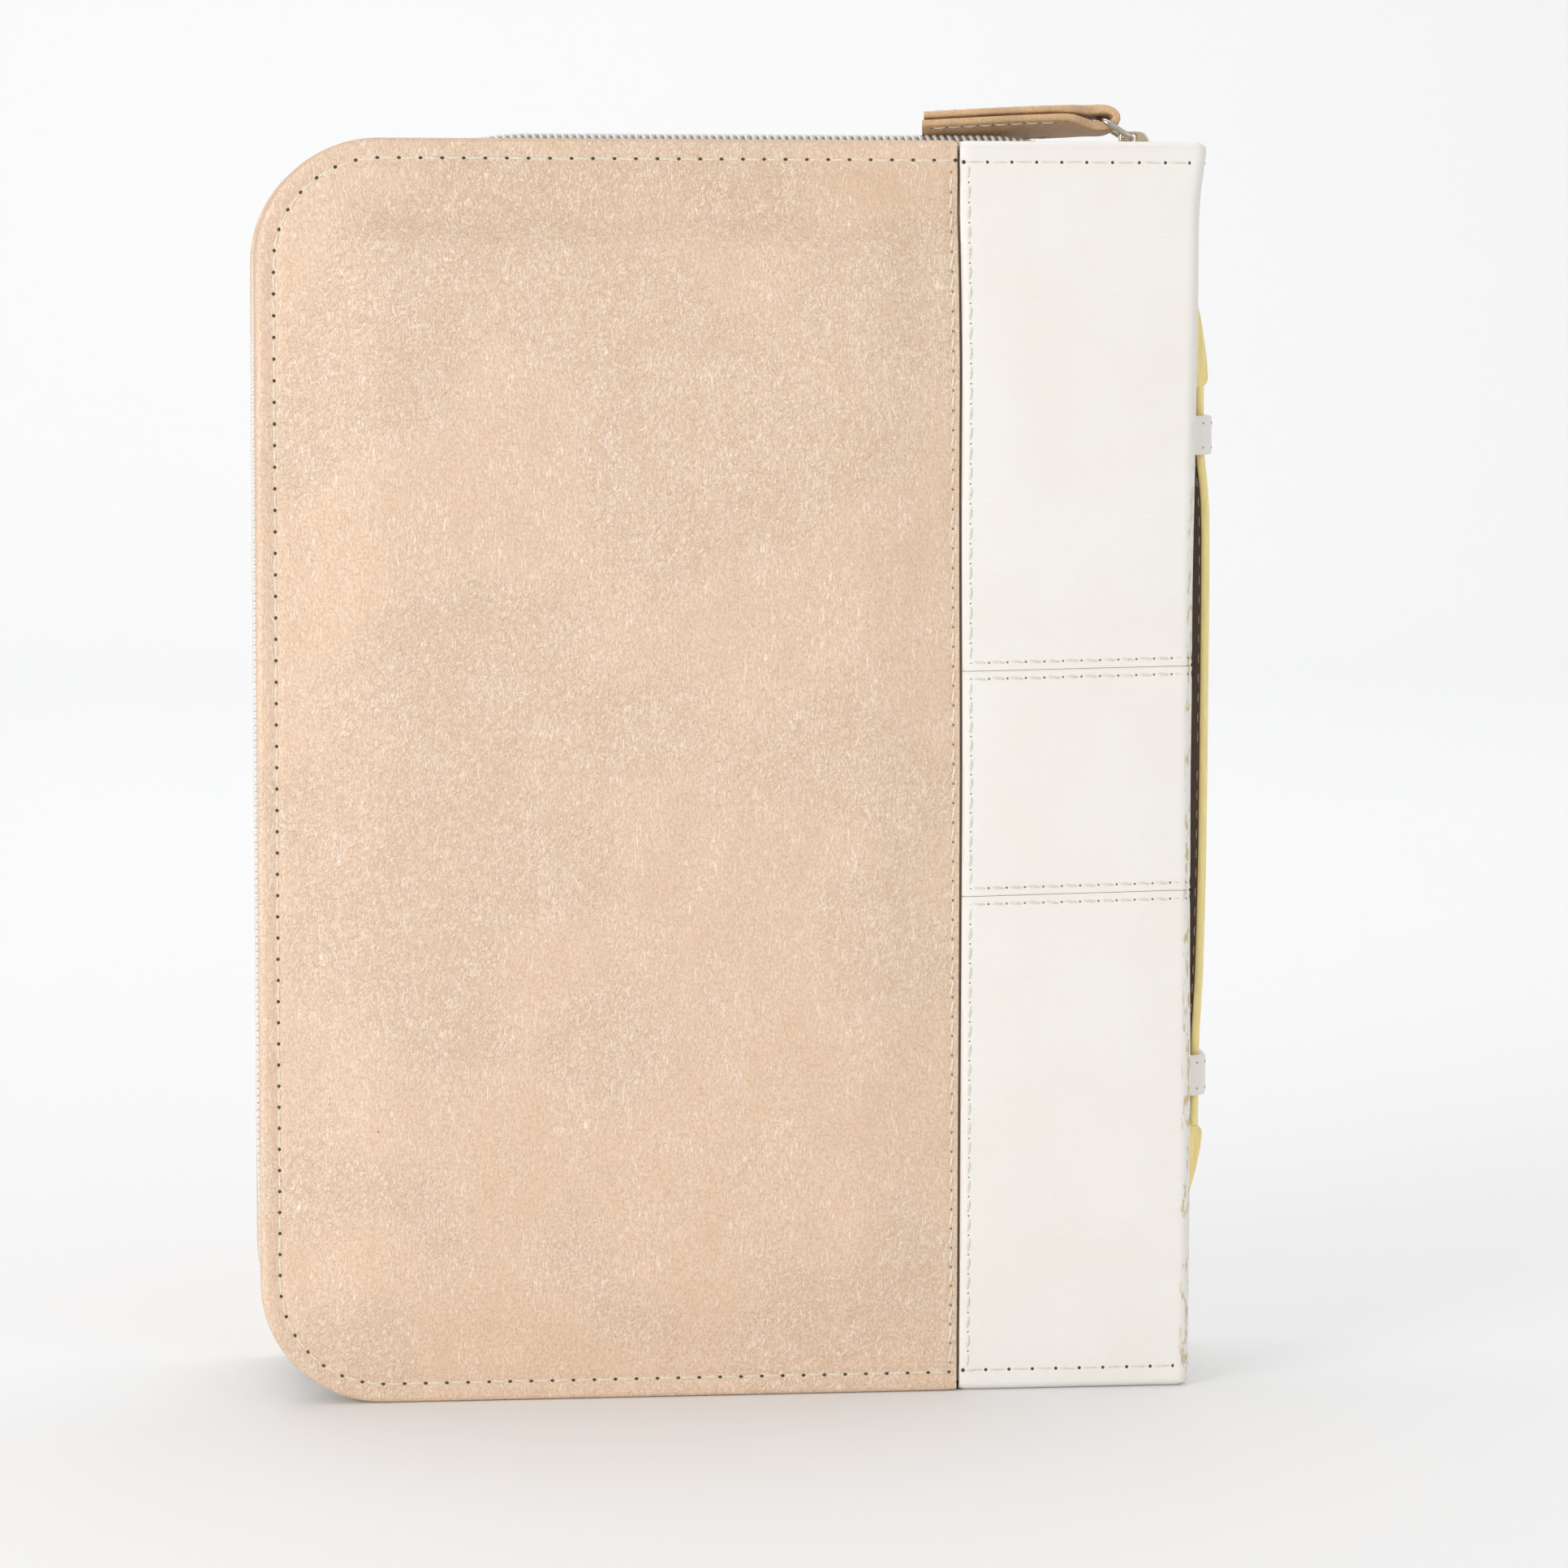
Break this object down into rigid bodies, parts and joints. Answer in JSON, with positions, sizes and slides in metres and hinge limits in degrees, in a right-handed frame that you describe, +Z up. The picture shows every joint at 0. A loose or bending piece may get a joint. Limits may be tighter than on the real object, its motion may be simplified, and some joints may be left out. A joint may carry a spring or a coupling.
{
  "type": "zip-around prayer book",
  "caption": "Prayer book in a padded two-tone zip-around cover with a zip pull and a carrying strap along the spine.",
  "frame": {"origin": "centre of the bounding box, at the bottom edges that the book stands on", "axes": "+Z up along the spine, +X from the fore-edge to the spine and its strap, -Y out of the back cover"},
  "size_m": [0.1969, 0.052, 0.2623],
  "materials": {
    "rose": "satin pebble-grained faux leather, champagne rose",
    "cream": "satin fine-grained faux leather, off-white",
    "foam": "soft padding foam",
    "board": "stiffener board",
    "lining": "woven lining cloth",
    "tape": "woven zip tape",
    "coil": "translucent white nylon",
    "slider": "pale gold plated",
    "nickel": "bright nickel wire",
    "tab": "bronze-brown leather",
    "strap": "folded leather strap with painted edge",
    "paper": "uncoated book paper",
    "book_cloth": "book cloth over board",
    "binding": "mull and glue"
  },
  "bodies": {
    "spine": {"spine_skin_upper": "cream", "spine_skin_middle": "cream", "spine_skin_lower": "cream", "spine_board": "board", "spine_lining": "lining", "keeper_upper": "cream", "keeper_lower": "cream", "book_spine_strip": "book_cloth", "text_block_binding": "binding", "headband_top": "book_cloth", "headband_bottom": "book_cloth"},
    "back_cover": {"back_rose_panel": "rose", "back_cream_upper": "cream", "back_cream_middle": "cream", "back_cream_lower": "cream", "back_foam": "foam", "back_board": "board", "back_lining": "lining", "back_sleeve": "lining", "back_book_board": "book_cloth", "back_endpaper": "paper", "back_zip_tape": "tape", "back_zip_coil": "coil", "back_zip_stop_top": "slider", "back_zip_stop_bottom": "slider"},
    "front_cover": {"front_rose_panel": "rose", "front_cream_upper": "cream", "front_cream_middle": "cream", "front_cream_lower": "cream", "front_foam": "foam", "front_board": "board", "front_lining": "lining", "front_sleeve": "lining", "front_book_board": "book_cloth", "front_endpaper": "paper", "front_zip_tape": "tape", "front_zip_coil": "coil", "front_zip_stop_top": "slider", "front_zip_stop_bottom": "slider"},
    "back_leaves": {"back_leaves": "paper"},
    "front_leaves": {"front_leaves": "paper"},
    "handle_grip": {"handle_grip": "strap"},
    "handle_upper_end": {"handle_upper_run": "strap", "handle_upper_stopper": "strap"},
    "handle_lower_end": {"handle_lower_run": "strap", "handle_lower_stopper": "strap"},
    "zipper_slider": {"slider_body": "slider", "slider_bridge": "slider"},
    "pull_wire": {"pull_wire": "nickel"},
    "pull_tab": {"pull_tab": "tab"}
  },
  "joints": [
    {"name": "back_cover_fold", "type": "hinge", "parent": "spine", "child": "back_cover", "pos_m": [0.0916, -0.026, 0.1275], "axis": [0, 0, 1], "range_deg": [0, 90]},
    {"name": "front_cover_fold", "type": "hinge", "parent": "spine", "child": "front_cover", "pos_m": [0.0916, 0.026, 0.1275], "axis": [0, 0, -1], "range_deg": [0, 90]},
    {"name": "back_leaves_turn", "type": "hinge", "parent": "spine", "child": "back_leaves", "pos_m": [0.0736, -0.014, 0.1275], "axis": [0, 0, 1], "range_deg": [0, 90]},
    {"name": "front_leaves_turn", "type": "hinge", "parent": "spine", "child": "front_leaves", "pos_m": [0.0736, 0.014, 0.1275], "axis": [0, 0, -1], "range_deg": [0, 90]},
    {"name": "handle_lift", "type": "slide", "parent": "spine", "child": "handle_grip", "axis": [1, 0, 0], "range_m": [0, 0.02]},
    {"name": "handle_upper_draw", "type": "slide", "parent": "handle_grip", "child": "handle_upper_end", "axis": [-0.9642, 0, -0.2652], "range_m": [0, 0.02075]},
    {"name": "handle_lower_draw", "type": "slide", "parent": "handle_grip", "child": "handle_lower_end", "axis": [-0.9746, 0, 0.2241], "range_m": [0, 0.02055]},
    {"name": "slider_run", "type": "slide", "parent": "back_cover", "child": "zipper_slider", "axis": [-1, 0, 0], "range_m": [0, 0.12]},
    {"name": "pull_wire_swing", "type": "hinge", "parent": "zipper_slider", "child": "pull_wire", "pos_m": [0.082, 0, 0.25605], "axis": [0, 1, 0], "range_deg": [0, 90]},
    {"name": "pull_tab_swing", "type": "hinge", "parent": "pull_wire", "child": "pull_tab", "pos_m": [0.0758, 0, 0.25985], "axis": [0, 1, 0], "range_deg": [0, 85]}
  ],
  "couplings": [
    {"joint": "back_leaves_turn", "follows": "back_cover_fold", "ratio": 1},
    {"joint": "front_leaves_turn", "follows": "front_cover_fold", "ratio": 1},
    {"joint": "handle_upper_draw", "follows": "handle_lift", "ratio": 1.0371},
    {"joint": "handle_lower_draw", "follows": "handle_lift", "ratio": 1.0261}
  ]
}
